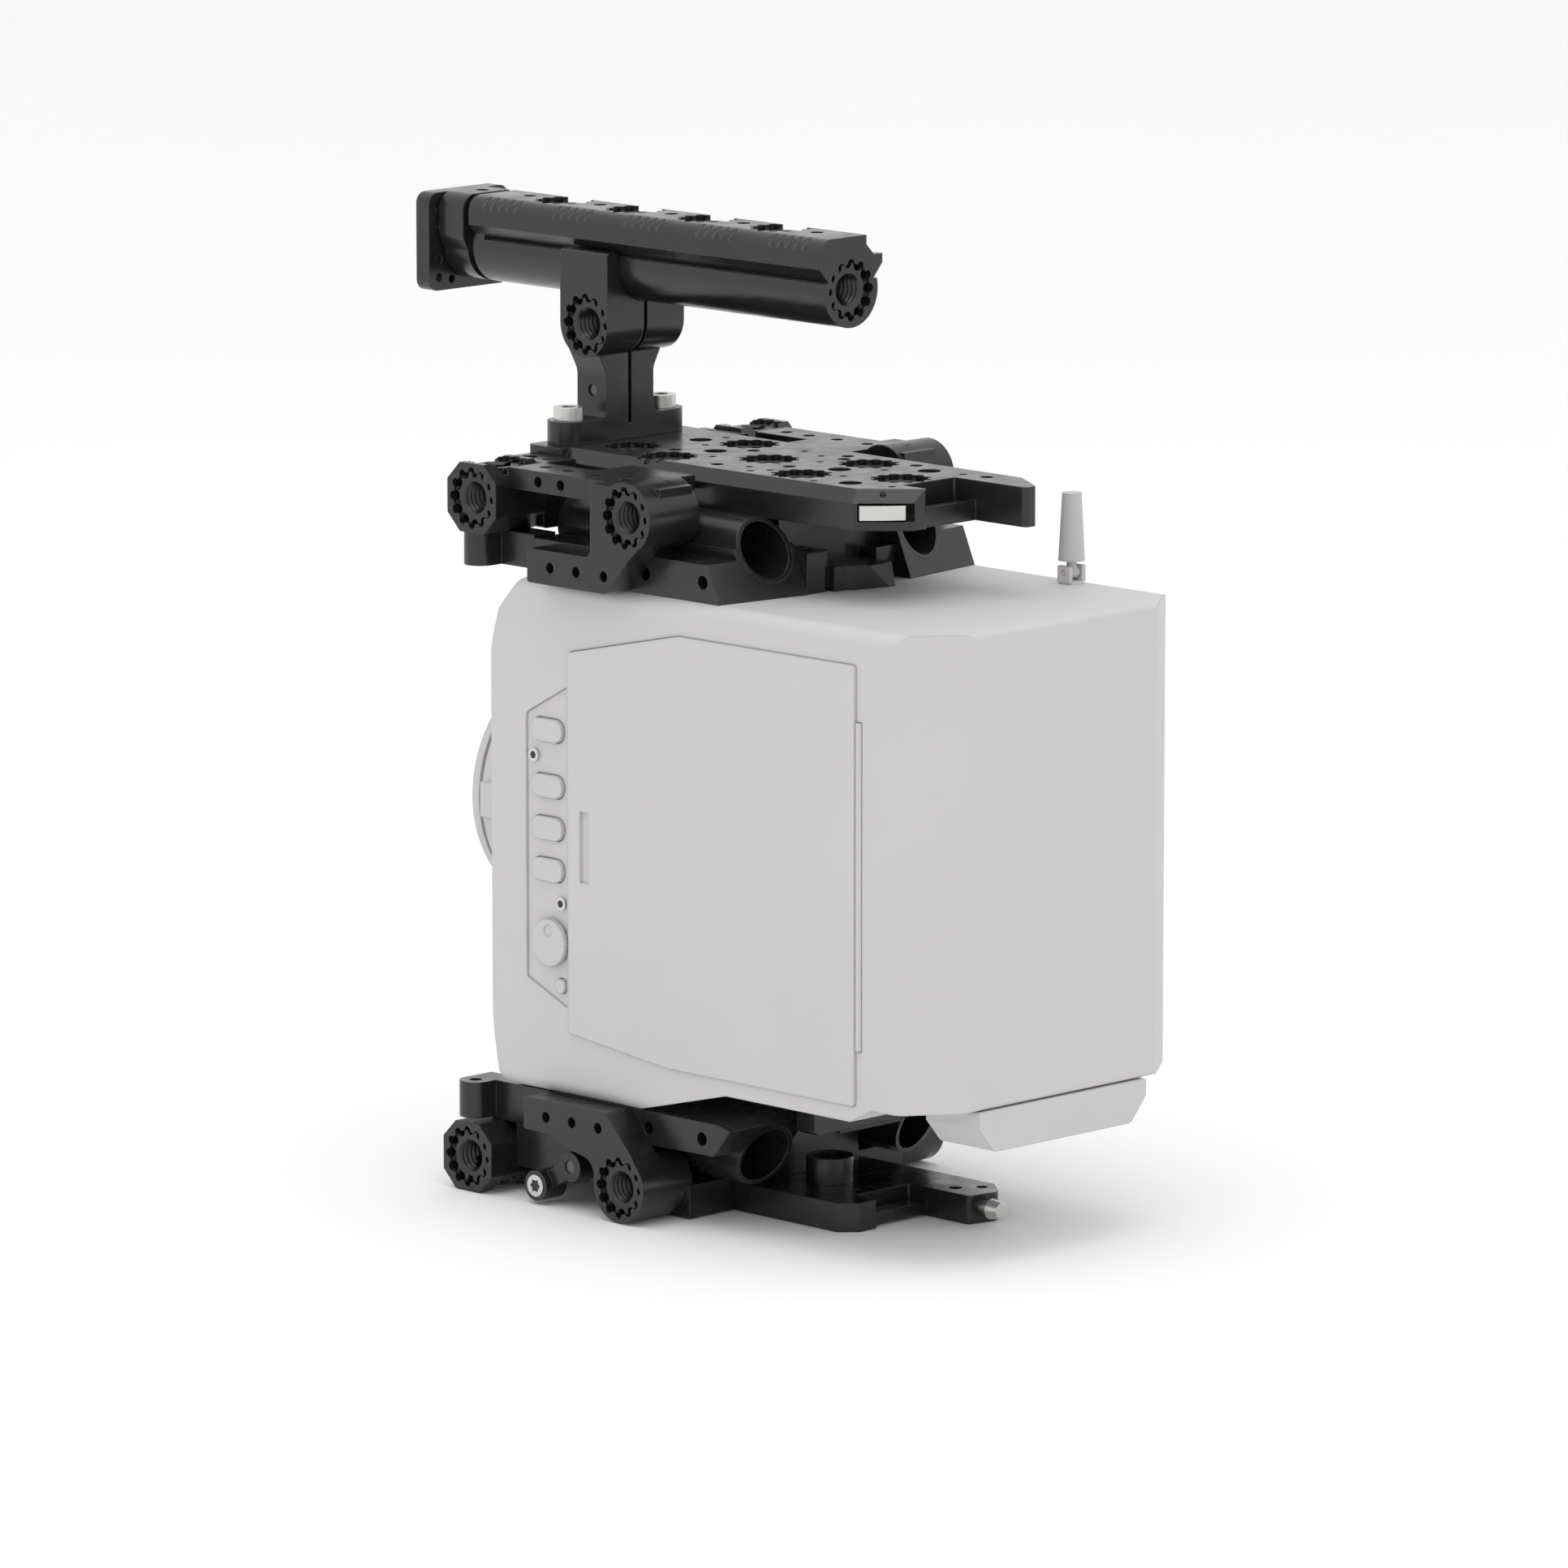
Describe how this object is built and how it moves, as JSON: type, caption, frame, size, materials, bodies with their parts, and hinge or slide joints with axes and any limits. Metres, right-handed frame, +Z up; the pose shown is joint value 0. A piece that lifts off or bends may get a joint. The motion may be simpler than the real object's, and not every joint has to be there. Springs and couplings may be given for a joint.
{
  "type": "cinema camera rig",
  "caption": "Boxy cinema camera held between a drilled top cage with rod tubes and a sliding carry handle and a matching base cage.",
  "frame": {"origin": "on the ground, at the middle of the bounding box's footprint", "axes": "+Z up, lens looks along -Y, the side with the buttons faces +X"},
  "size_m": [0.1192, 0.2392, 0.2718],
  "materials": {
    "anodised_black": "satin black anodised",
    "handle_black": "satin black anodised",
    "bright_steel": "bright machined",
    "dark_steel": "dark",
    "body_grey": "matte pale grey",
    "body_plastic": "matte pale grey",
    "cover_glass": "dark coated",
    "antenna_rubber": "matte"
  },
  "bodies": {
    "rig": {"antenna_base": "body_grey", "battery_rail": "body_grey", "bottom_arm_left": "anodised_black", "bottom_arm_right": "anodised_black", "bottom_base": "anodised_black", "bottom_corner_block_left": "anodised_black", "bottom_corner_block_right": "anodised_black", "bottom_crossbar": "anodised_black", "bottom_plate": "anodised_black", "bottom_post_left": "anodised_black", "bottom_post_right": "anodised_black", "bottom_rod_tube_left": "anodised_black", "bottom_rod_tube_right": "anodised_black", "bottom_side_bracket_left": "anodised_black", "bottom_side_bracket_right": "anodised_black", "camera_body": "body_grey", "fan_cover": "body_grey", "handle_riser": "handle_black", "lens_mount_flange": "body_grey", "lens_mount_rim": "body_grey", "lever_pivot": "dark_steel", "lever_pivot_block": "anodised_black", "panel_screws": "bright_steel", "sensor_window": "cover_glass", "side_control_panel": "body_grey", "top_arm_left": "anodised_black", "top_arm_right": "anodised_black", "top_base": "anodised_black", "top_corner_block_left": "anodised_black", "top_corner_block_right": "anodised_black", "top_crossbar": "anodised_black", "top_foot_left": "anodised_black", "top_foot_right": "anodised_black", "top_plate": "anodised_black", "top_rod_tube_left": "anodised_black", "top_rod_tube_right": "anodised_black", "top_side_bracket_left": "anodised_black", "top_side_bracket_right": "anodised_black"},
    "handle": {"handle_bar": "handle_black"},
    "front_mount": {"handle_seam_ring": "handle_black", "handle_front_collar": "handle_black", "mount_plate_spacer": "handle_black", "handle_mount_plate": "handle_black"},
    "bolt_left": {"riser_bolt_left": "bright_steel"},
    "bolt_right": {"riser_bolt_right": "bright_steel"},
    "pinch_screw": {"riser_pinch_screw": "dark_steel"},
    "latch": {"top_latch": "bright_steel"},
    "button_1": {"user_button_1": "body_plastic"},
    "button_2": {"user_button_2": "body_plastic"},
    "button_3": {"user_button_3": "body_plastic"},
    "button_4": {"user_button_4": "body_plastic"},
    "lock": {"lock_button": "body_plastic"},
    "wheel": {"selector_wheel": "body_plastic"},
    "lens_ring": {"lens_lock_ring": "body_grey"},
    "door": {"side_door": "body_grey"},
    "battery_pack": {"battery": "body_plastic"},
    "aerial": {"antenna": "antenna_rubber"},
    "lever": {"bottom_release_lever": "anodised_black", "lever_screw": "bright_steel"},
    "rear_pin": {"rear_latch_pin": "bright_steel"}
  },
  "joints": [
    {"name": "handle_slide", "type": "slide", "parent": "rig", "child": "handle", "axis": [0, 1, 0], "range_m": [-0.02, 0.02]},
    {"name": "front_mount_turn", "type": "hinge", "parent": "handle", "child": "front_mount", "pos_m": [0, -0.108, 0.257], "axis": [0, 1, 0], "range_deg": [-90, 90]},
    {"name": "bolt_left_turn", "type": "hinge", "parent": "rig", "child": "bolt_left", "pos_m": [0.018, -0.055, 0.21], "axis": [0, 0, 1], "continuous": true},
    {"name": "bolt_right_turn", "type": "hinge", "parent": "rig", "child": "bolt_right", "pos_m": [-0.018, -0.055, 0.21], "axis": [0, 0, 1], "continuous": true},
    {"name": "pinch_screw_turn", "type": "hinge", "parent": "rig", "child": "pinch_screw", "pos_m": [-0.0092, -0.0546, 0.221], "axis": [1, 0, 0], "continuous": true},
    {"name": "latch_press", "type": "slide", "parent": "rig", "child": "latch", "axis": [-0.7071, -0.7071, 0], "range_m": [0, 0.0022], "stiffness_N_per_m": 600},
    {"name": "button_1_press", "type": "slide", "parent": "rig", "child": "button_1", "axis": [-1, 0, 0], "range_m": [0, 0.0008], "stiffness_N_per_m": 900},
    {"name": "button_2_press", "type": "slide", "parent": "rig", "child": "button_2", "axis": [-1, 0, 0], "range_m": [0, 0.0008], "stiffness_N_per_m": 900},
    {"name": "button_3_press", "type": "slide", "parent": "rig", "child": "button_3", "axis": [-1, 0, 0], "range_m": [0, 0.0008], "stiffness_N_per_m": 900},
    {"name": "button_4_press", "type": "slide", "parent": "rig", "child": "button_4", "axis": [-1, 0, 0], "range_m": [0, 0.0008], "stiffness_N_per_m": 900},
    {"name": "lock_button_press", "type": "slide", "parent": "rig", "child": "lock", "axis": [-1, 0, 0], "range_m": [0, 0.001], "stiffness_N_per_m": 900},
    {"name": "wheel_turn", "type": "hinge", "parent": "rig", "child": "wheel", "pos_m": [0.0526, -0.0264, 0.0736], "axis": [1, 0, 0], "continuous": true},
    {"name": "lens_ring_turn", "type": "hinge", "parent": "rig", "child": "lens_ring", "pos_m": [0, -0.067, 0.106], "axis": [0, 1, 0], "range_deg": [-30, 0]},
    {"name": "door_swing", "type": "hinge", "parent": "rig", "child": "door", "pos_m": [0.0524, 0.0931, 0.105], "axis": [0, 0, 1], "range_deg": [0, 100]},
    {"name": "battery_slide", "type": "slide", "parent": "rig", "child": "battery_pack", "axis": [0, 1, 0], "range_m": [0, 0.022]},
    {"name": "antenna_fold", "type": "hinge", "parent": "rig", "child": "aerial", "pos_m": [-0.046, 0.078, 0.1783], "axis": [1, 0, 0], "range_deg": [-75, 0]},
    {"name": "release_lever_swing", "type": "hinge", "parent": "rig", "child": "lever", "pos_m": [0.054, -0.0156, 0.012], "axis": [1, 0, 0], "range_deg": [-38, 0]},
    {"name": "rear_pin_press", "type": "slide", "parent": "rig", "child": "rear_pin", "axis": [0, -1, 0], "range_m": [0, 0.0018], "stiffness_N_per_m": 500}
  ]
}
